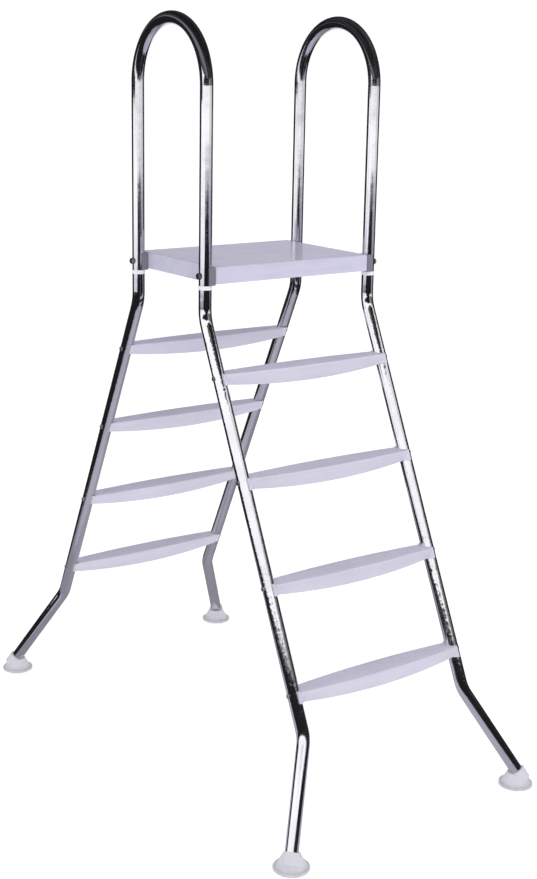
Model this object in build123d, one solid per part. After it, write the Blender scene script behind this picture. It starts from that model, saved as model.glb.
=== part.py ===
from build123d import *
import os
from math import atan2, degrees, sqrt

# Free-standing A-frame pool ladder, in millimetres.
# +X is to the user's right, the front flight comes down toward -Y, the floor is Z = 0.
# Everything is drawn once for the front right corner, then mirrored to the other three.

# Tube frame
TUBE_R = 16.0
TUBE_WALL = 1.5
TUBE_BORE_R = TUBE_R - TUBE_WALL
HALF_WIDTH = 251.5
ARCH_R = 152.0
ARCH_TOP_Z = 1870.0
JOINT_Z = 1250.0
UPPER_BEND_Z = 1177.0
LOWER_BEND_Y = 578.0
LOWER_BEND_Z = 252.0
FOOT_X = 358.0
FOOT_Y = 680.0
FOOT_MOUTH_Z = 39.0
UPPER_BEND_R = 100.0
LOWER_BEND_R = 80.0
LEG_END_Z = 20.0

# Joint between a hoop and its leg
RING_R = 16.6
RING_H = 10.0
SPIGOT_R = TUBE_BORE_R - 0.1
SPIGOT_WALL = 2.0
SPIGOT_BELOW = 48.0
SPIGOT_ABOVE = 48.0

# Platform
DECK_HALF_X = 234.0
DECK_HALF_Y = 174.0
DECK_TOP_Z = 1300.0
DECK_H = 41.0
DECK_TOP_T = 5.0
DECK_WALL = 4.0
DECK_CORNER_R = 8.0
DECK_EDGE_R = 4.5
DECK_RIB_T = 3.0
DECK_RIB_H = 20.0
DECK_RIBS_X = 6
DECK_RIBS_Y = 4
BOSS_X = 18.0
BOSS_Y = 34.0
BOSS_H = 34.0

# Saddles between the hoop tubes and the deck
SADDLE_HALF_Y = 18.4
SADDLE_BOTTOM_Z = JOINT_Z + RING_H / 2 + 0.5
SADDLE_TOP_Z = DECK_TOP_Z - 1.5

# Deck bolts, M8
BOLT_Z = 1278.0
BOLT_R = 4.0
BOLT_HOLE_R = 4.3
BOLT_HEAD_R = 7.5
BOLT_HEAD_H = 5.3
BOLT_WASHER_R = 8.4
BOLT_WASHER_T = 1.6
BOLT_NUT_H = 6.5
BOLT_END_SPARE = 3.0

# Treads
TREADS = 4
LOWEST_TREAD_Z = 357.0
TREAD_PITCH = 232.0
TREAD_HALF_X = HALF_WIDTH - 5.0
TREAD_END_HALF_Y = 21.0
TREAD_MID_HALF_Y = 33.0
TREAD_DRAFT_DEG = 9.0
TREAD_END_H = 25.0
TREAD_MID_H = 39.0
TREAD_TOP_T = 3.5
TREAD_WALL = 3.0
TREAD_EDGE_R = 3.0
TREAD_CAVITY_HALF_X = 226.0
TREAD_RIB_PITCH = 56.0
TREAD_RIB_T = 2.5
TREAD_RIBS_EACH_SIDE = 3
CUP_R = 20.5
CUP_GAP = 0.05
GROOVE_W = 2.4
GROOVE_DEPTH = 0.9
GROOVE_PITCH = 8.0
GROOVES_EACH_SIDE = 3
GROOVE_MARGIN = 6.0
GROOVE_MAX_HALF_X = 205.0

# Tread screws, M6
SCREW_DROP = 12.5
SCREW_R = 3.0
SCREW_HOLE_R = 3.2
SCREW_HEAD_R = 6.0
SCREW_HEAD_H = 2.6
SCREW_SOCKET_R = 2.3
SCREW_SOCKET_H = 1.5
SCREW_WASHER_R = 6.2
SCREW_WASHER_T = 1.2
SCREW_NUT_R = 5.77
SCREW_NUT_H = 5.0
SCREW_END_SPARE = 2.0

# Feet
FOOT_BASE_R = 43.0
FOOT_BASE_H = 7.0
FOOT_EDGE_R = 2.0
FOOT_SKIRT_R = 39.0
FOOT_SKIRT_MID_R = 30.5
FOOT_SKIRT_MID_Z = 18.0
FOOT_SKIRT_TOP_R = 22.0
FOOT_SKIRT_TOP_Z = 34.0
FOOT_COLLAR_R = 20.5
FOOT_COLLAR_EDGE_R = 1.5
FOOT_COLLAR_START_Z = 14.0
FOOT_GAP = 0.05
FOOT_GROOVE_W = 1.6
FOOT_GROOVE_DEPTH = 1.5
FOOT_GROOVE_RADII = (14.0, 24.0, 34.0)

ARCH_CENTRE_Z = ARCH_TOP_Z - ARCH_R
LEG_SLOPE = (LOWER_BEND_Y - ARCH_R) / (UPPER_BEND_Z - LOWER_BEND_Z)
LEG_TILT_DEG = degrees(atan2(LEG_SLOPE, 1))
CORNERS = {
    "front_right": (False, False),
    "front_left": (True, False),
    "rear_right": (False, True),
    "rear_left": (True, True),
}


def to_corner(shape, flip_x, flip_y):
    """Mirror a front right piece to another corner of the ladder."""
    if flip_x:
        shape = mirror(shape, about=Plane.YZ)
    if flip_y:
        shape = mirror(shape, about=Plane.XZ)
    return shape


def x_rod(radius, x_from, x_to, y, z):
    """Round bar parallel to X, used for shanks, heads and holes."""
    middle = (x_from + x_to) / 2
    return Pos(middle, y, z) * Rot(0, 90, 0) * Cylinder(radius, abs(x_to - x_from))


def x_hexagon(radius, x_from, x_to, y, z):
    """Hexagonal prism parallel to X."""
    start = Plane(origin=(min(x_from, x_to), y, z), x_dir=(0, 0, 1), z_dir=(1, 0, 0))
    return extrude(start * RegularPolygon(radius, 6), abs(x_to - x_from))


def sweep_ring(path, outer, inner):
    """Sweep a round tube section along a path."""
    section = Plane(origin=path @ 0, z_dir=path % 0) * (Circle(outer) - Circle(inner))
    return sweep(section, path=path)


def leg_y(z):
    """Y of the front leg's axis on its long straight run."""
    return -(ARCH_R + (UPPER_BEND_Z - z) * LEG_SLOPE)


def splay_point(z):
    """Point on the axis of the front right leg's splayed end, which passes the middle of the foot's mouth."""
    share = (LOWER_BEND_Z - z) / (LOWER_BEND_Z - FOOT_MOUTH_Z)
    x = HALF_WIDTH + (FOOT_X - HALF_WIDTH) * share
    y = LOWER_BEND_Y + (FOOT_Y - LOWER_BEND_Y) * share
    return (x, -y, z)


def tread_top(index):
    """Z of a tread's top, counted from the lowest."""
    return LOWEST_TREAD_Z + index * TREAD_PITCH


# Handrail hoop: two uprights and a half-circle arch in one bent tube
def make_hoop():
    bottom_z = JOINT_Z + RING_H / 2
    front_up = Line((HALF_WIDTH, -ARCH_R, bottom_z), (HALF_WIDTH, -ARCH_R, ARCH_CENTRE_Z))
    arch = ThreePointArc(
        (HALF_WIDTH, -ARCH_R, ARCH_CENTRE_Z),
        (HALF_WIDTH, 0, ARCH_TOP_Z),
        (HALF_WIDTH, ARCH_R, ARCH_CENTRE_Z),
    )
    rear_down = Line((HALF_WIDTH, ARCH_R, ARCH_CENTRE_Z), (HALF_WIDTH, ARCH_R, bottom_z))
    hoop = sweep_ring(Wire([front_up, arch, rear_down]), TUBE_R, TUBE_BORE_R)
    for y in (-ARCH_R, ARCH_R):
        hoop -= x_rod(BOLT_HOLE_R, HALF_WIDTH - 2 * TUBE_R, HALF_WIDTH + 2 * TUBE_R, y, BOLT_Z)
    return hoop


# Leg: short upright stub, long sloping run, then a splayed end in the foot
def make_leg():
    path = FilletPolyline(
        (HALF_WIDTH, -ARCH_R, JOINT_Z - RING_H / 2),
        (HALF_WIDTH, -ARCH_R, UPPER_BEND_Z),
        (HALF_WIDTH, -LOWER_BEND_Y, LOWER_BEND_Z),
        splay_point(LEG_END_Z),
        radius=[UPPER_BEND_R, LOWER_BEND_R],
    )
    leg = sweep_ring(path, TUBE_R, TUBE_BORE_R)
    for index in range(TREADS):
        z = tread_top(index) - SCREW_DROP
        leg -= x_rod(SCREW_HOLE_R, HALF_WIDTH - 2 * TUBE_R, HALF_WIDTH + 2 * TUBE_R, leg_y(z), z)
    return leg


# Spigot: inner sleeve that joins a hoop to its leg
def make_spigot():
    length = SPIGOT_BELOW + SPIGOT_ABOVE
    middle_z = JOINT_Z + (SPIGOT_ABOVE - SPIGOT_BELOW) / 2
    spigot = Cylinder(SPIGOT_R, length) - Cylinder(SPIGOT_R - SPIGOT_WALL, length)
    spigot = Pos(HALF_WIDTH, -ARCH_R, middle_z) * spigot
    spigot -= x_rod(BOLT_HOLE_R, HALF_WIDTH - 2 * TUBE_R, HALF_WIDTH + 2 * TUBE_R, -ARCH_R, BOLT_Z)
    return spigot


# Ring: spacer that the hoop and the leg butt against
def make_ring():
    ring = Cylinder(RING_R, RING_H) - Cylinder(TUBE_BORE_R, RING_H)
    ring = fillet(ring.edges().filter_by(GeomType.CIRCLE).group_by(SortBy.RADIUS)[-1], 0.8)
    return Pos(HALF_WIDTH, -ARCH_R, JOINT_Z) * ring


# Deck: moulded tray, open below, with ribs and four bolt bosses
def make_deck():
    outline = RectangleRounded(2 * DECK_HALF_X, 2 * DECK_HALF_Y, DECK_CORNER_R)
    deck = extrude(Pos(0, 0, DECK_TOP_Z) * outline, -DECK_H)
    deck = fillet(deck.edges().group_by(Axis.Z)[-1], DECK_EDGE_R)
    inside_x = 2 * (DECK_HALF_X - DECK_WALL)
    inside_y = 2 * (DECK_HALF_Y - DECK_WALL)
    plate_z = DECK_TOP_Z - DECK_TOP_T
    cavity = Box(inside_x, inside_y, DECK_H, align=(Align.CENTER, Align.CENTER, Align.MAX))
    deck -= Pos(0, 0, plate_z) * cavity
    across = Box(DECK_RIB_T, inside_y, DECK_RIB_H, align=(Align.CENTER, Align.CENTER, Align.MAX))
    along = Box(inside_x, DECK_RIB_T, DECK_RIB_H, align=(Align.CENTER, Align.CENTER, Align.MAX))
    spacing_x = inside_x / (DECK_RIBS_X + 1)
    spacing_y = inside_y / (DECK_RIBS_Y + 1)
    deck += [Pos(0, 0, plate_z) * at * across for at in GridLocations(spacing_x, 1, DECK_RIBS_X, 1)]
    deck += [Pos(0, 0, plate_z) * at * along for at in GridLocations(1, spacing_y, 1, DECK_RIBS_Y)]
    boss = Box(BOSS_X, BOSS_Y, BOSS_H, align=(Align.MAX, Align.CENTER, Align.MAX))
    boss = Pos(DECK_HALF_X - DECK_WALL, -ARCH_R, plate_z) * boss
    hole = x_rod(BOLT_HOLE_R, DECK_HALF_X - DECK_WALL - BOSS_X, DECK_HALF_X, -ARCH_R, BOLT_Z)
    deck += [to_corner(boss, *flips) for flips in CORNERS.values()]
    deck -= [to_corner(hole, *flips) for flips in CORNERS.values()]
    return deck


# Saddle: half shell that fills the space between a round tube and the flat deck side
def make_saddle():
    height = SADDLE_TOP_Z - SADDLE_BOTTOM_Z
    block = Box(
        HALF_WIDTH - DECK_HALF_X,
        2 * SADDLE_HALF_Y,
        height,
        align=(Align.MIN, Align.CENTER, Align.MIN),
    )
    block = Pos(DECK_HALF_X, -ARCH_R, SADDLE_BOTTOM_Z) * block
    tube = Pos(HALF_WIDTH, -ARCH_R, SADDLE_BOTTOM_Z) * Cylinder(
        TUBE_R + CUP_GAP, height, align=(Align.CENTER, Align.CENTER, Align.MIN)
    )
    return block - tube - x_rod(BOLT_HOLE_R, DECK_HALF_X, HALF_WIDTH, -ARCH_R, BOLT_Z)


# Deck bolt and its washers and nut: head outside the tube, nut under the deck
BOLT_SEAT_X = HALF_WIDTH + TUBE_R
BOLT_NUT_X = DECK_HALF_X - DECK_WALL - BOSS_X


def make_bolt():
    head_x = BOLT_SEAT_X + BOLT_WASHER_T
    tip_x = BOLT_NUT_X - BOLT_WASHER_T - BOLT_NUT_H - BOLT_END_SPARE
    head = x_hexagon(BOLT_HEAD_R, head_x, head_x + BOLT_HEAD_H, -ARCH_R, BOLT_Z)
    dome = x_rod(BOLT_HEAD_R, head_x, head_x + BOLT_HEAD_H, -ARCH_R, BOLT_Z)
    dome = chamfer(dome.edges().group_by(Axis.X)[-1], 1.0)
    return (head & dome) + x_rod(BOLT_R, tip_x, head_x, -ARCH_R, BOLT_Z)


def make_bolt_washers():
    outer = x_rod(BOLT_WASHER_R, BOLT_SEAT_X, BOLT_SEAT_X + BOLT_WASHER_T, -ARCH_R, BOLT_Z)
    inner = x_rod(BOLT_WASHER_R, BOLT_NUT_X - BOLT_WASHER_T, BOLT_NUT_X, -ARCH_R, BOLT_Z)
    hole = x_rod(BOLT_HOLE_R, BOLT_NUT_X - BOLT_WASHER_T, BOLT_SEAT_X + BOLT_WASHER_T, -ARCH_R, BOLT_Z)
    return [outer - hole, inner - hole]


def make_bolt_nut():
    face_x = BOLT_NUT_X - BOLT_WASHER_T
    nut = x_hexagon(BOLT_HEAD_R, face_x - BOLT_NUT_H, face_x, -ARCH_R, BOLT_Z)
    return nut - x_rod(BOLT_R + 0.05, face_x - BOLT_NUT_H, face_x, -ARCH_R, BOLT_Z)


# Tread: boat-shaped moulded step, drawn with its top at Z = 0 and the leg's axis
# crossing the XZ plane at the screw. Each end is a cup round the inner half of the leg.
def lens(half_x, end_half_y, mid_half_y):
    front = ThreePointArc((-half_x, -end_half_y), (0, -mid_half_y), (half_x, -end_half_y))
    right = Line((half_x, -end_half_y), (half_x, end_half_y))
    rear = ThreePointArc((half_x, end_half_y), (0, mid_half_y), (-half_x, end_half_y))
    left = Line((-half_x, end_half_y), (-half_x, -end_half_y))
    return make_face([front, right, rear, left])


def leg_rod(side, radius):
    """Bar along the leg's axis at one end of a tread."""
    length = 4 * TREAD_MID_H
    return Pos(side * HALF_WIDTH, 0, -SCREW_DROP) * Rot(-LEG_TILT_DEG, 0, 0) * Cylinder(radius, length)


def groove_half_x(y):
    """Half length of an anti-slip groove, so that it stays inside the tread's outline."""
    room = TREAD_MID_HALF_Y - abs(y) - GROOVE_MARGIN
    share = min(1, room / (TREAD_MID_HALF_Y - TREAD_END_HALF_Y))
    return min(GROOVE_MAX_HALF_X, TREAD_HALF_X * sqrt(share))


def make_tread():
    outline = lens(TREAD_HALF_X, TREAD_END_HALF_Y, TREAD_MID_HALF_Y)
    body = extrude(outline, -TREAD_MID_H, taper=TREAD_DRAFT_DEG)
    body = fillet(body.edges().group_by(Axis.Z)[-1], TREAD_EDGE_R)
    belly = ThreePointArc(
        (-HALF_WIDTH, 0, -TREAD_END_H), (0, 0, -TREAD_MID_H), (HALF_WIDTH, 0, -TREAD_END_H)
    )
    lid = Polyline(
        (HALF_WIDTH, 0, -TREAD_END_H), (HALF_WIDTH, 0, 0), (-HALF_WIDTH, 0, 0), (-HALF_WIDTH, 0, -TREAD_END_H)
    )
    side_view = make_face([*belly.edges(), *lid.edges()])
    body &= extrude(side_view, 2 * TREAD_MID_HALF_Y, both=True)
    cavity = lens(TREAD_HALF_X, TREAD_END_HALF_Y - TREAD_WALL, TREAD_MID_HALF_Y - TREAD_WALL)
    cavity = extrude(Pos(0, 0, -TREAD_TOP_T) * cavity, -TREAD_MID_H, taper=TREAD_DRAFT_DEG)
    cavity &= Box(2 * TREAD_CAVITY_HALF_X, 4 * TREAD_MID_HALF_Y, 4 * TREAD_MID_H)
    rib = Box(TREAD_RIB_T, 2 * TREAD_MID_HALF_Y, TREAD_END_H, align=(Align.CENTER, Align.CENTER, Align.MAX))
    rib_count = 2 * TREAD_RIBS_EACH_SIDE + 1
    for at in GridLocations(TREAD_RIB_PITCH, 1, rib_count, 1):
        cavity -= at * rib
    body -= cavity
    slab = Box(2 * HALF_WIDTH, 4 * CUP_R, TREAD_END_H, align=(Align.CENTER, Align.CENTER, Align.MAX))
    slab -= Box(2 * TREAD_CAVITY_HALF_X, 4 * CUP_R, 4 * TREAD_END_H)
    for side in (-1, 1):
        body += leg_rod(side, CUP_R) & slab
    for side in (-1, 1):
        body -= leg_rod(side, TUBE_R + CUP_GAP)
        body -= x_rod(SCREW_HOLE_R, side * TREAD_CAVITY_HALF_X, side * HALF_WIDTH, 0, -SCREW_DROP)
    for row in range(-GROOVES_EACH_SIDE, GROOVES_EACH_SIDE + 1):
        y = row * GROOVE_PITCH
        slot = SlotOverall(2 * groove_half_x(y), GROOVE_W)
        body -= extrude(Pos(0, y, 0) * slot, -GROOVE_DEPTH)
    return body


# Tread screw, washer and nut, drawn at the right end of a tread
SCREW_SEAT_X = HALF_WIDTH + TUBE_R
SCREW_NUT_X = TREAD_CAVITY_HALF_X


def make_screw():
    tip_x = SCREW_NUT_X - SCREW_WASHER_T - SCREW_NUT_H - SCREW_END_SPARE
    head = x_rod(SCREW_HEAD_R, SCREW_SEAT_X, SCREW_SEAT_X + SCREW_HEAD_H, 0, 0)
    head = fillet(head.edges().group_by(Axis.X)[-1], 1.8)
    top_x = SCREW_SEAT_X + SCREW_HEAD_H
    head -= x_hexagon(SCREW_SOCKET_R, top_x - SCREW_SOCKET_H, top_x, 0, 0)
    return head + x_rod(SCREW_R, tip_x, SCREW_SEAT_X, 0, 0)


def make_screw_washer():
    washer = x_rod(SCREW_WASHER_R, SCREW_NUT_X - SCREW_WASHER_T, SCREW_NUT_X, 0, 0)
    return washer - x_rod(SCREW_HOLE_R, SCREW_NUT_X - SCREW_WASHER_T, SCREW_NUT_X, 0, 0)


def make_screw_nut():
    face_x = SCREW_NUT_X - SCREW_WASHER_T
    nut = x_hexagon(SCREW_NUT_R, face_x - SCREW_NUT_H, face_x, 0, 0)
    return nut - x_rod(SCREW_R + 0.05, face_x - SCREW_NUT_H, face_x, 0, 0)


# Foot: flared cup on a flat round base, with a tilted collar round the splayed leg end
def make_foot():
    end = Vector(*splay_point(LEG_END_Z))
    mouth = Vector(*splay_point(FOOT_MOUTH_Z))
    up = (mouth - end).normalized()
    centre = Pos(FOOT_X, -FOOT_Y, 0)
    base = Cylinder(FOOT_BASE_R, FOOT_BASE_H, align=(Align.CENTER, Align.CENTER, Align.MIN))
    base = fillet(base.edges().filter_by(GeomType.CIRCLE), FOOT_EDGE_R)
    skirt_bottom_z = FOOT_BASE_H - FOOT_EDGE_R
    side = ThreePointArc(
        (FOOT_SKIRT_R, skirt_bottom_z),
        (FOOT_SKIRT_MID_R, FOOT_SKIRT_MID_Z),
        (FOOT_SKIRT_TOP_R, FOOT_SKIRT_TOP_Z),
    )
    rest = Polyline(
        (FOOT_SKIRT_TOP_R, FOOT_SKIRT_TOP_Z),
        (0, FOOT_SKIRT_TOP_Z),
        (0, skirt_bottom_z),
        (FOOT_SKIRT_R, skirt_bottom_z),
    )
    skirt = revolve(Plane.XZ * make_face([side, *rest.edges()]), Axis.Z)
    start = Vector(*splay_point(FOOT_COLLAR_START_Z))
    collar = extrude(Plane(origin=start, z_dir=up) * Circle(FOOT_COLLAR_R), (mouth - start).length)
    collar = fillet(collar.edges().filter_by(GeomType.CIRCLE).sort_by(Axis.Z)[-1], FOOT_COLLAR_EDGE_R)
    socket = extrude(Plane(origin=end, z_dir=up) * Circle(TUBE_R + FOOT_GAP), 2 * FOOT_BASE_R)
    foot = centre * (base + skirt) + collar - socket
    for radius in FOOT_GROOVE_RADII:
        groove = Cylinder(radius + FOOT_GROOVE_W, FOOT_GROOVE_DEPTH) - Cylinder(radius, FOOT_GROOVE_DEPTH)
        foot -= centre * Pos(0, 0, FOOT_GROOVE_DEPTH / 2) * groove
    return foot


def save(shape, name):
    export_step(shape, f"parts/{name}.step")


def group(pieces, name):
    save(Compound(children=list(pieces)), name)


os.makedirs("parts", exist_ok=True)

corner_pieces = {
    "leg": make_leg(),
    "joint_spigot": make_spigot(),
    "joint_ring": make_ring(),
    "platform_saddle": make_saddle(),
    "foot": make_foot(),
}
for kind, piece in corner_pieces.items():
    for corner, flips in CORNERS.items():
        save(to_corner(piece, *flips), f"{kind}_{corner}")

hoop = make_hoop()
save(hoop, "handrail_hoop_right")
save(mirror(hoop, about=Plane.YZ), "handrail_hoop_left")

save(make_deck(), "platform_deck")
bolt = make_bolt()
washers = make_bolt_washers()
nut = make_bolt_nut()
group([to_corner(bolt, *flips) for flips in CORNERS.values()], "platform_bolts")
group([to_corner(washer, *flips) for washer in washers for flips in CORNERS.values()], "platform_washers")
group([to_corner(nut, *flips) for flips in CORNERS.values()], "platform_nuts")

tread = make_tread()
fasteners = {
    "tread_screws": make_screw(),
    "tread_washers": make_screw_washer(),
    "tread_nuts": make_screw_nut(),
}
for index in range(TREADS):
    top = tread_top(index)
    front_tread = Pos(0, leg_y(top - SCREW_DROP), top) * tread
    save(front_tread, f"tread_front_{index + 1}")
    save(mirror(front_tread, about=Plane.XZ), f"tread_rear_{index + 1}")
for name, piece in fasteners.items():
    placed = []
    for index in range(TREADS):
        z = tread_top(index) - SCREW_DROP
        placed += [to_corner(Pos(0, leg_y(z), z) * piece, *flips) for flips in CORNERS.values()]
    group(placed, name)
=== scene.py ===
import math

import bmesh
import bpy
from mathutils import Matrix, Vector

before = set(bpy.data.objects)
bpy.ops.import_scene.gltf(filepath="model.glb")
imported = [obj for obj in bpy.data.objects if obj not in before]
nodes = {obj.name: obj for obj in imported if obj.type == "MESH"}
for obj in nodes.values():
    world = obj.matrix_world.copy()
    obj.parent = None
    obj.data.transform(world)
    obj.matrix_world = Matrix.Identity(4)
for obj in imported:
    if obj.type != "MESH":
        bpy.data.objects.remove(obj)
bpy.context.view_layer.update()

# Places and lengths are in metres, in the CAD part's frame.

# The photograph's camera. Yaw turns from +Y towards +X, and roll raises the camera's right side.
CAMERA_AT = (-2.1991, -3.0583, 1.7951)
CAMERA_YAW = math.radians(36.408)
CAMERA_PITCH = math.radians(-14.688)
CAMERA_ROLL = math.radians(1.076)
CAMERA_LENS_MM = 60.545
CAMERA_SENSOR_MM = 36.0
CAMERA_REACH = 100.0

# The bends at the two ends of a leg's long slope. Y is counted from the middle of the ladder.
UPPER_BEND_Y = 0.152
UPPER_BEND_Z = 1.177
LOWER_BEND_Y = 0.578
LOWER_BEND_Z = 0.252
LEG_TILT = math.atan2(LOWER_BEND_Y - UPPER_BEND_Y, UPPER_BEND_Z - LOWER_BEND_Z)

# Tones of the materials. Where there are two, a noise mixes them, and stains bring a metal's
# tone down to STAINED of itself.
STEEL_TONES = ((0.80, 0.80, 0.83, 1), (0.70, 0.70, 0.74, 1))
TREAD_TONES = ((0.68, 0.67, 0.79, 1), (0.60, 0.59, 0.70, 1))
DECK_TONES = ((0.63, 0.615, 0.77, 1), (0.555, 0.54, 0.68, 1))
RING_TONES = ((0.86, 0.86, 0.88, 1), (0.80, 0.80, 0.84, 1))
SADDLE_TONES = ((0.17, 0.16, 0.20, 1), (0.23, 0.22, 0.27, 1))
FOOT_TONE = (0.70, 0.69, 0.76, 1)
DUST_TONE = (0.42, 0.40, 0.40, 1)
SPIGOT_TONE = (0.55, 0.55, 0.57, 1)
BOLT_TONE = (0.62, 0.62, 0.64, 1)
STAINED = 0.75
FLOOR_TONES = ((0.88, 0.88, 0.89, 1), (0.91, 0.91, 0.92, 1))
CLOTH_TONES = ((0.010, 0.010, 0.012, 1), (0.018, 0.017, 0.020, 1))
CANOPY_TONES = ((0.010, 0.010, 0.011, 1), (0.20, 0.195, 0.22, 1))

# Roughness, from the smoothest to the roughest spot.
GLOSSY_PLASTIC = (0.16, 0.26)
SATIN_PLASTIC = (0.28, 0.42)
FOOT_ROUGHNESS = (0.42, 0.60)
BOLT_ROUGHNESS = (0.20, 0.35)
SPIGOT_ROUGHNESS = (0.30, 0.45)

# Dust on the feet ends at DUST_TOP_Z, and FLOOR_GLOW is how strongly the floor glows.
DUST_TOP_Z = 0.018
FLOOR_GLOW = 0.38
FLOOR_R = 40.0

# What the polished tubes reflect. Each sector of the studio is a turn, a blend and its stops.
# It takes over from the sector before it at the turn, in degrees to the picture's right from the
# direction of the camera, within the blend. Its stops hold brightness or colour by elevation in
# degrees. What lies below the horizon is laid out on a disc, as it would look from NOMINAL_EYE
# above the middle of the floor.
BLACK = 0.015
WHITE = 1.25
FLOOR_MID = (0.50, 0.48, 0.57)
FLOOR_EDGE = (0.44, 0.42, 0.50)
FLOOR_SIDE = (0.30, 0.29, 0.34)
LAVENDER = (0.95, 0.92, 1.08)
BLUE_GREY = (0.38, 0.40, 0.48)
VIOLET = (0.22, 0.21, 0.31)
UNDER = [(-90, FLOOR_MID), (-60, FLOOR_MID), (-43, FLOOR_EDGE), (-39, BLACK), (-18.5, BLACK)]
CEILING = [(46, 0.60), (90, 0.50)]
BEHIND = [
    (-90, FLOOR_MID), (-50, FLOOR_SIDE), (-30, 0.20), (-20, 0.90), (4, 0.90),
    (9, VIOLET), (90, VIOLET),
]
SIDE = [
    (-90, FLOOR_MID), (-60, FLOOR_SIDE), (-36, FLOOR_SIDE), (-30, BLACK), (13, BLACK),
    (17, 0.08), (90, 0.10),
]
FRONT_LEFT = UNDER + [(-8, BLACK), (-7, LAVENDER), (-4, WHITE), (40, WHITE)] + CEILING
FRONT = UNDER + [(-17, 0.02), (-3.6, 0.02), (-2.8, WHITE), (40, WHITE)] + CEILING
FRONT_RIGHT = UNDER + [
    (-17, BLUE_GREY), (-3.6, BLUE_GREY), (-2.8, 0.9), (-0.5, 0.9), (0.5, 0.15), (16, 0.18),
    (21, 0.40), (22.5, 1.0), (30, 0.9), (38, 0.5), (90, 0.4),
]
STUDIO = [
    (-180, 0, BEHIND),
    (-153, 6, SIDE),
    (-91, 5, FRONT_LEFT),
    (-16, 10, FRONT),
    (48, 8, FRONT_RIGHT),
    (97, 6, SIDE),
    (150, 6, BEHIND),
]
NOMINAL_EYE = 1.0
MIRROR_FLOOR_R = 38.0

# A dark band that stands on the horizon and rises from left to right across the front of the
# studio, in the same degrees.
BAND_FROM_TURN = -60.0
BAND_TO_TURN = 10.0
BAND_END_TURN = 46.0
BAND_SIDE_BLEND = 6.0
BAND_TOP = 21.5
BAND_TOP_BLEND = 1.5
BAND_BOTTOM = -0.5
BAND_SOLID_FROM = 0.8

# Screens that only reflections see: a black flag round the front of the ladder, and a curtain
# that hangs from the dark canopy on the left. Each outline is a list of turn, bottom and top.
FLAG_R = 2.7
FLAG = [
    (-130, 0.0, 0.50), (-50, 0.0, 0.53), (-27, 0.0, 0.82), (-6, 0.0, 1.06),
    (14, 0.0, 1.26), (37, 0.0, 1.32), (56, 0.0, 1.05), (90, 0.0, 0.72),
]
CANOPY_R = 1.85
CANOPY_Z = 2.0
CURTAIN_R = 0.9
CURTAIN = [(-110, 1.66, CANOPY_Z), (-55, 1.66, CANOPY_Z)]
SCREEN_STEP = 5

# The canopy has streaks, and a paler strip that begins between the two edges and fades further
# out, both as shares of its pale tone.
CANOPY_STREAKS = 0.3
STRIP_EDGE_X = (-0.42, -0.52)
STRIP_FADE_X = (-0.6, -1.3)
STRIP_FAINTEST = 0.15

# What lights the matt surfaces: the world, a little brighter near the horizon than overhead, and
# soft lights with their place, the point that they face, their width and height, and watts.
# The camera sees the world as an even SEEN_WHITE.
PLAIN_WHITE = (1, 1, 1, 1)
SEEN_WHITE = 1.05
HORIZON_LIGHT = 0.85
ZENITH_LIGHT = 0.70
LIGHTS = [
    ("key", (-0.8, -4.5, 1.2), (0, 0, 0.9), (2.4, 2.0), 7),
    ("overhead", (-0.5, -1.6, 3.3), (0, -0.3, 0.5), (1.8, 1.4), 15),
]


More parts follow.
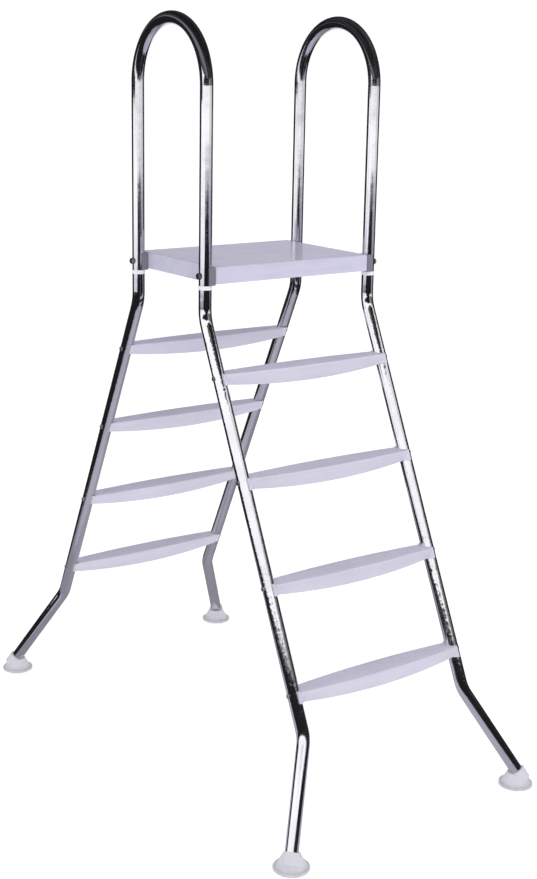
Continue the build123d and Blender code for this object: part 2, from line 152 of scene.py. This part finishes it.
# ---------------------------------------------------------------- node helpers
class Graph:
    """The node tree of a material or of the world, with short calls for the nodes it needs."""

    def __init__(self, owner):
        owner.use_nodes = True
        self.material = owner
        self.tree = owner.node_tree
        self.shader = self.tree.nodes.get("Principled BSDF")

    def plug(self, node, key, value):
        """Link a socket to an input, or set the input to a constant."""
        socket = node.inputs[key]
        if isinstance(value, bpy.types.NodeSocket):
            self.tree.links.new(value, socket)
        else:
            socket.default_value = value

    def node(self, kind, inputs=None, **settings):
        """Add a node, with its settings and its inputs."""
        node = self.tree.nodes.new(kind)
        for key, value in settings.items():
            setattr(node, key, value)
        for key, value in (inputs or {}).items():
            self.plug(node, key, value)
        return node

    def coords(self, scale=(1, 1, 1), rotation=(0, 0, 0)):
        """Object coordinates: a small scale along an axis stretches a texture that way."""
        place = self.node("ShaderNodeTexCoord").outputs["Object"]
        inputs = {"Vector": place, "Rotation": rotation, "Scale": scale}
        return self.node("ShaderNodeMapping", inputs).outputs["Vector"]

    def noise(self, scale, detail=3, roughness=0.55, vector=None, distortion=0.0):
        """A noise's value, in object coordinates where no vector is given."""
        node = self.node("ShaderNodeTexNoise", {
            "Vector": vector or self.coords(), "Scale": scale, "Detail": detail,
            "Roughness": roughness, "Distortion": distortion,
        })
        return node.outputs["Fac"]

    def remap(self, value, low, high, to_low=0.0, to_high=1.0):
        """Carry low to high over to another range, clamped at its ends."""
        node = self.node("ShaderNodeMapRange", {
            "Value": value, "From Min": low, "From Max": high, "To Min": to_low, "To Max": to_high,
        })
        return node.outputs["Result"]

    def math(self, operation, a, b=0.0):
        """One step of arithmetic."""
        node = self.node("ShaderNodeMath", {0: a, 1: b}, operation=operation)
        return node.outputs["Value"]

    def measure(self, operation, a, b=(0, 0, 0)):
        """A number from vectors, such as a length or a dot product."""
        node = self.node("ShaderNodeVectorMath", {0: a, 1: b}, operation=operation)
        return node.outputs["Value"]

    def mix(self, factor, a, b):
        """Mix two colours. The node numbers its sockets: 6 and 7 are its colours, 2 its result."""
        node = self.node("ShaderNodeMix", {"Factor": factor}, data_type="RGBA")
        self.plug(node, 6, a)
        self.plug(node, 7, b)
        return node.outputs[2]

    def bump(self, height, distance, normal=None):
        """A normal that follows a height, on top of another normal where one is given."""
        inputs = {"Height": height, "Distance": distance}
        if normal is not None:
            inputs["Normal"] = normal
        return self.node("ShaderNodeBump", inputs).outputs["Normal"]

    def separate(self, vector, axis):
        """One axis of a vector."""
        return self.node("ShaderNodeSeparateXYZ", {0: vector}).outputs[axis]

    def set(self, **inputs):
        """Set inputs of the material's shader by name, with _ for a space."""
        for key, value in inputs.items():
            self.plug(self.shader, key.replace("_", " "), value)


# ---------------------------------------------------------------- materials
def polished_steel(name, tilt=0.0):
    """Polished stainless tube: fine draw lines along it, faint waviness and hand smudges.

    The tilt turns the lines along a sloping leg.
    """
    g = Graph(bpy.data.materials.new(name))
    along_tube = g.coords(scale=(1, 1, 0.02), rotation=(tilt, 0, 0))
    lines = g.noise(scale=900, detail=2, vector=along_tube)
    waves = g.noise(scale=22, detail=2)
    smudge = g.noise(scale=9, detail=5, roughness=0.65)
    smudge_roughness = g.remap(smudge, 0.45, 0.75, 0.06, 0.16)
    line_roughness = g.remap(lines, 0.3, 0.7, 0.0, 0.03)
    g.set(Base_Color=g.mix(g.remap(smudge, 0.35, 0.7), *STEEL_TONES))
    g.set(Metallic=1.0, Roughness=g.math("ADD", smudge_roughness, line_roughness))
    fine = g.bump(lines, distance=0.000004)
    g.set(Normal=g.bump(waves, distance=0.0002, normal=fine))
    return g.material


def moulded_plastic(name, tones, roughness, streaks=True):
    """Moulded plastic: flow streaks along the piece, faint mottling and fine grain."""
    g = Graph(bpy.data.materials.new(name))
    mottle = g.noise(scale=7, detail=5, roughness=0.6)
    flow = g.noise(scale=60, detail=4, vector=g.coords(scale=(0.05, 1, 1)), distortion=0.4)
    grain = g.noise(scale=1600, detail=2)
    tone = g.math("MULTIPLY", g.remap(mottle, 0.35, 0.7), 0.5)
    if streaks:
        tone = g.math("ADD", tone, g.math("MULTIPLY", g.remap(flow, 0.4, 0.7), 0.5))
    g.set(Base_Color=g.mix(tone, *tones))
    g.set(Roughness=g.remap(flow, 0.3, 0.7, *roughness))
    g.set(Subsurface_Weight=0.08, Subsurface_Scale=0.003)
    fine = g.bump(grain, distance=0.00003)
    g.set(Normal=g.bump(flow, distance=0.0004, normal=fine))
    return g.material


def foot_vinyl(name):
    """Soft white vinyl with dust near the floor."""
    g = Graph(bpy.data.materials.new(name))
    height = g.separate(g.coords(), "Z")
    speck = g.noise(scale=90, detail=6, roughness=0.7)
    near_floor = g.remap(height, 0.0, DUST_TOP_Z, 1.0, 0.0)
    dust = g.math("MULTIPLY", near_floor, g.remap(speck, 0.35, 0.65, 0.1, 0.8))
    g.set(Base_Color=g.mix(dust, FOOT_TONE, DUST_TONE))
    g.set(Roughness=g.remap(speck, 0.3, 0.7, *FOOT_ROUGHNESS))
    g.set(Normal=g.bump(speck, distance=0.0002))
    return g.material


def plain_metal(name, tone, roughness):
    """Bright fastener steel with turned marks and faint stains."""
    g = Graph(bpy.data.materials.new(name))
    marks = g.noise(scale=1400, detail=2, vector=g.coords(scale=(0.1, 1, 1)))
    stain = g.noise(scale=120, detail=5)
    stained_tone = tuple(channel * STAINED for channel in tone[:3]) + (1,)
    g.set(Base_Color=g.mix(g.remap(stain, 0.4, 0.7), tone, stained_tone))
    g.set(Metallic=1.0, Roughness=g.remap(marks, 0.3, 0.7, *roughness))
    g.set(Normal=g.bump(marks, distance=0.00002))
    return g.material


def saddle_plastic(name):
    """Glossy grey-violet plastic, finely speckled."""
    g = Graph(bpy.data.materials.new(name))
    speck = g.noise(scale=300, detail=4)
    g.set(Base_Color=g.mix(speck, *SADDLE_TONES))
    g.set(Roughness=g.remap(speck, 0.3, 0.7, *GLOSSY_PLASTIC))
    g.set(Normal=g.bump(speck, distance=0.0001))
    return g.material


def pale_paper(name):
    """Pale paper sweep, faintly mottled and lit a little from within."""
    g = Graph(bpy.data.materials.new(name))
    fleck = g.noise(scale=3, detail=4)
    g.set(Base_Color=g.mix(fleck, *FLOOR_TONES))
    g.set(Roughness=0.9, Specular_IOR_Level=0.1)
    g.set(Emission_Color=PLAIN_WHITE, Emission_Strength=FLOOR_GLOW)
    return g.material


def glowing(g, colour):
    """Make the material glow with a colour and reflect nothing."""
    glow = g.node("ShaderNodeEmission", {"Color": colour})
    g.plug(g.tree.nodes["Material Output"], "Surface", glow.outputs[0])
    return g.material


def black_cloth(name):
    """Cloth that is nearly black all over."""
    g = Graph(bpy.data.materials.new(name))
    return glowing(g, g.mix(g.noise(scale=4), *CLOTH_TONES))


def canopy_cloth(name):
    """Dark cloth with faint streaks, and a paler strip on the left."""
    g = Graph(bpy.data.materials.new(name))
    cloud = g.noise(scale=5, detail=3, vector=g.coords(scale=(1, 0.35, 1)))
    streaks = g.remap(cloud, 0.45, 0.70, 0.0, CANOPY_STREAKS)
    x = g.separate(g.coords(), "X")
    edge_start, edge_end = STRIP_EDGE_X
    fade_start, fade_end = STRIP_FADE_X
    strip_edge = g.remap(x, edge_end, edge_start, 1.0, 0.0)
    strip_fade = g.remap(x, fade_end, fade_start, STRIP_FAINTEST, 1.0)
    strip = g.math("MULTIPLY", strip_edge, strip_fade)
    return glowing(g, g.mix(g.math("MAXIMUM", streaks, strip), *CANOPY_TONES))


def dress_nodes():
    """Give each CAD node its material, by the start of its name."""
    bolt_steel = plain_metal("bolt_steel", BOLT_TONE, BOLT_ROUGHNESS)
    tread_white = moulded_plastic("moulded_plastic", TREAD_TONES, GLOSSY_PLASTIC)
    looks = [
        ("handrail_hoop", polished_steel("polished_steel_upright")),
        ("leg_front", polished_steel("polished_steel_front_leg", tilt=-LEG_TILT)),
        ("leg_rear", polished_steel("polished_steel_rear_leg", tilt=LEG_TILT)),
        ("joint_ring", moulded_plastic("ring_plastic", RING_TONES, SATIN_PLASTIC, streaks=False)),
        ("joint_spigot", plain_metal("inner_steel", SPIGOT_TONE, SPIGOT_ROUGHNESS)),
        ("foot", foot_vinyl("foot_vinyl")),
        ("platform_saddle", saddle_plastic("saddle_plastic")),
        ("platform_deck", moulded_plastic("deck_plastic", DECK_TONES, GLOSSY_PLASTIC)),
        (("tread_front", "tread_rear"), tread_white),
        (("platform_bolts", "platform_washers", "platform_nuts"), bolt_steel),
        (("tread_screws", "tread_washers", "tread_nuts"), bolt_steel),
    ]
    for name, node in nodes.items():
        node.data.materials.clear()
        node.data.materials.append(next(look for start, look in looks if name.startswith(start)))


# ---------------------------------------------------------------- what the steel reflects
def rgba(tone):
    """A colour with its alpha, from a colour or from a brightness."""
    if isinstance(tone, tuple):
        return tone + (1,)
    return (tone, tone, tone, 1)


def elevation_ramp(g, elevation, stops):
    """Colour by elevation in degrees."""
    place = g.remap(elevation, -90.0, 90.0)
    ramp = g.node("ShaderNodeValToRGB", {"Fac": place})
    elements = ramp.color_ramp.elements
    while len(elements) < len(stops):
        elements.new(0.5)
    for element, (angle, tone) in zip(elements, stops):
        element.position = (angle + 90) / 180
        element.color = rgba(tone)
    return ramp.outputs["Color"]


def turn_of(g, direction):
    """Turn of a direction to the picture's right from the direction of the camera, in degrees."""
    to_camera = (-math.sin(CAMERA_YAW), -math.cos(CAMERA_YAW), 0)
    to_right = (math.cos(CAMERA_YAW), -math.sin(CAMERA_YAW), 0)
    ahead = g.measure("DOT_PRODUCT", direction, to_camera)
    aside = g.measure("DOT_PRODUCT", direction, to_right)
    return g.math("DEGREES", g.math("ARCTAN2", aside, ahead))


def dark_band(g, turn, elevation):
    """How far a direction is inside the dark band, from 0 to 1."""
    top = g.remap(turn, BAND_FROM_TURN, BAND_TO_TURN, 0.0, BAND_TOP)
    below_top = g.remap(g.math("SUBTRACT", top, elevation), 0.0, BAND_TOP_BLEND)
    above_horizon = g.remap(elevation, BAND_BOTTOM, BAND_SOLID_FROM)
    begun = g.remap(turn, BAND_FROM_TURN, BAND_FROM_TURN + BAND_SIDE_BLEND)
    not_ended = g.remap(turn, BAND_END_TURN, BAND_END_TURN + BAND_SIDE_BLEND, 1.0, 0.0)
    in_front = g.math("MULTIPLY", begun, not_ended)
    return g.math("MULTIPLY", g.math("MULTIPLY", below_top, above_horizon), in_front)


def studio_reflection(g, turn, elevation):
    """The sectors from left to right, then the dark band over them."""
    first_sector, *later_sectors = STUDIO
    colour = elevation_ramp(g, elevation, first_sector[2])
    for start, blend, stops in later_sectors:
        share = g.remap(turn, start, start + blend)
        colour = g.mix(share, colour, elevation_ramp(g, elevation, stops))
    return g.mix(dark_band(g, turn, elevation), colour, rgba(BLACK))


def disc_mesh(name, radius, z):
    """A level round sheet over the middle of the ladder."""
    place = Matrix.Translation((0, 0, z))
    mesh = bpy.data.meshes.new(name)
    bm = bmesh.new()
    bmesh.ops.create_circle(bm, cap_ends=True, segments=96, radius=radius, matrix=place)
    bm.to_mesh(mesh)
    bm.free()
    return mesh


def screen_mesh(name, radius, outline):
    """An upright screen on a circle round the ladder, between its outline's bottoms and tops."""
    mesh = bpy.data.meshes.new(name)
    bm = bmesh.new()
    columns = []
    for (turn, bottom, top), (next_turn, next_bottom, next_top) in zip(outline, outline[1:]):
        steps = max(1, round((next_turn - turn) / SCREEN_STEP))
        for step in range(steps + 1):
            share = step / steps
            heading = CAMERA_YAW + math.pi - math.radians(turn + share * (next_turn - turn))
            x = radius * math.sin(heading)
            y = radius * math.cos(heading)
            low = bm.verts.new((x, y, bottom + share * (next_bottom - bottom)))
            high = bm.verts.new((x, y, top + share * (next_top - top)))
            columns.append((low, high))
    for (low, high), (next_low, next_high) in zip(columns, columns[1:]):
        bm.faces.new((low, next_low, next_high, high))
    bm.to_mesh(mesh)
    bm.free()
    return mesh


def reflected_only(name, mesh, material):
    """Put a mesh on the stage that only reflections see."""
    screen = bpy.data.objects.new(name, mesh)
    screen.visible_camera = False
    screen.visible_diffuse = False
    screen.visible_shadow = False
    screen.visible_transmission = False
    bpy.context.collection.objects.link(screen)
    mesh.materials.append(material)


def make_mirror_floor():
    """The floor as the steel reflects it, from the same studio table as the walls."""
    g = Graph(bpy.data.materials.new("mirror_floor"))
    place = g.coords()
    elevation = g.math("DEGREES", g.math("ARCTAN2", -NOMINAL_EYE, g.measure("LENGTH", place)))
    material = glowing(g, studio_reflection(g, turn_of(g, place), elevation))
    reflected_only("mirror_floor", disc_mesh("mirror_floor", MIRROR_FLOOR_R, 0.0), material)


def make_screens():
    """A black flag that turns the lower legs dark, and a curtain and a canopy for the arches."""
    flag = screen_mesh("flag", FLAG_R, FLAG)
    reflected_only("flag", flag, black_cloth("flag_cloth"))
    curtain = screen_mesh("curtain", CURTAIN_R, CURTAIN)
    reflected_only("curtain", curtain, black_cloth("curtain_cloth"))
    reflected_only("canopy", disc_mesh("canopy", CANOPY_R, CANOPY_Z), canopy_cloth("canopy_cloth"))


# ---------------------------------------------------------------- floor, light, camera
def make_floor():
    """A round floor. Reflections see the mirror floor in its place."""
    mesh = disc_mesh("floor", FLOOR_R, 0.0)
    floor = bpy.data.objects.new("floor", mesh)
    floor.visible_glossy = False
    bpy.context.collection.objects.link(floor)
    mesh.materials.append(pale_paper("floor_pale"))


def area_light(name, at, target, size, power):
    """A soft light that reflections don't see."""
    light = bpy.data.lights.new(name, "AREA")
    light.shape = "RECTANGLE"
    light.size, light.size_y = size
    light.energy = power
    lamp = bpy.data.objects.new(name, light)
    lamp.location = at
    lamp.rotation_euler = (Vector(target) - Vector(at)).to_track_quat("-Z", "Y").to_euler()
    lamp.visible_glossy = False
    bpy.context.collection.objects.link(lamp)


def background(g, colour, strength=1.0):
    """A background of the world, as a shader."""
    return g.node("ShaderNodeBackground", {"Color": colour, "Strength": strength}).outputs[0]


def mix_shader(g, factor, a, b):
    """Shader a where the factor is 0, and b where it is 1."""
    return g.node("ShaderNodeMixShader", {0: factor, 1: a, 2: b}).outputs[0]


def make_world():
    """White to the camera, graded as a light, and the studio's walls in reflections."""
    world = bpy.data.worlds.new("studio")
    g = Graph(world)
    g.tree.nodes.clear()
    direction = g.node("ShaderNodeTexCoord").outputs["Generated"]
    elevation = g.math("DEGREES", g.math("ARCSINE", g.separate(direction, "Z")))
    graded = g.remap(elevation, 0.0, 90.0, HORIZON_LIGHT, ZENITH_LIGHT)
    ray = g.node("ShaderNodeLightPath").outputs
    light = background(g, PLAIN_WHITE, graded)
    seen = background(g, PLAIN_WHITE, SEEN_WHITE)
    studio = background(g, studio_reflection(g, turn_of(g, direction), elevation))
    lit = mix_shader(g, ray["Is Camera Ray"], light, seen)
    g.node("ShaderNodeOutputWorld", {"Surface": mix_shader(g, ray["Is Glossy Ray"], lit, studio)})
    bpy.context.scene.world = world


def make_camera():
    """The photograph's camera."""
    camera = bpy.data.cameras.new("photo_camera")
    camera.lens = CAMERA_LENS_MM
    camera.sensor_width = CAMERA_SENSOR_MM
    camera.clip_end = CAMERA_REACH
    flat = math.cos(CAMERA_PITCH)
    forward = Vector((
        math.sin(CAMERA_YAW) * flat,
        math.cos(CAMERA_YAW) * flat,
        math.sin(CAMERA_PITCH),
    ))
    level = Vector((math.cos(CAMERA_YAW), -math.sin(CAMERA_YAW), 0))
    raised = level.cross(forward)
    right = math.cos(CAMERA_ROLL) * level + math.sin(CAMERA_ROLL) * raised
    up = math.cos(CAMERA_ROLL) * raised - math.sin(CAMERA_ROLL) * level
    turned = Matrix((right, up, -forward)).transposed().to_4x4()
    rig = bpy.data.objects.new("photo_camera", camera)
    rig.matrix_world = Matrix.Translation(CAMERA_AT) @ turned
    bpy.context.collection.objects.link(rig)
    bpy.context.scene.camera = rig


dress_nodes()
make_floor()
make_mirror_floor()
make_screens()
make_world()
make_camera()
for light in LIGHTS:
    area_light(*light)
bpy.context.scene.view_settings.view_transform = "Standard"
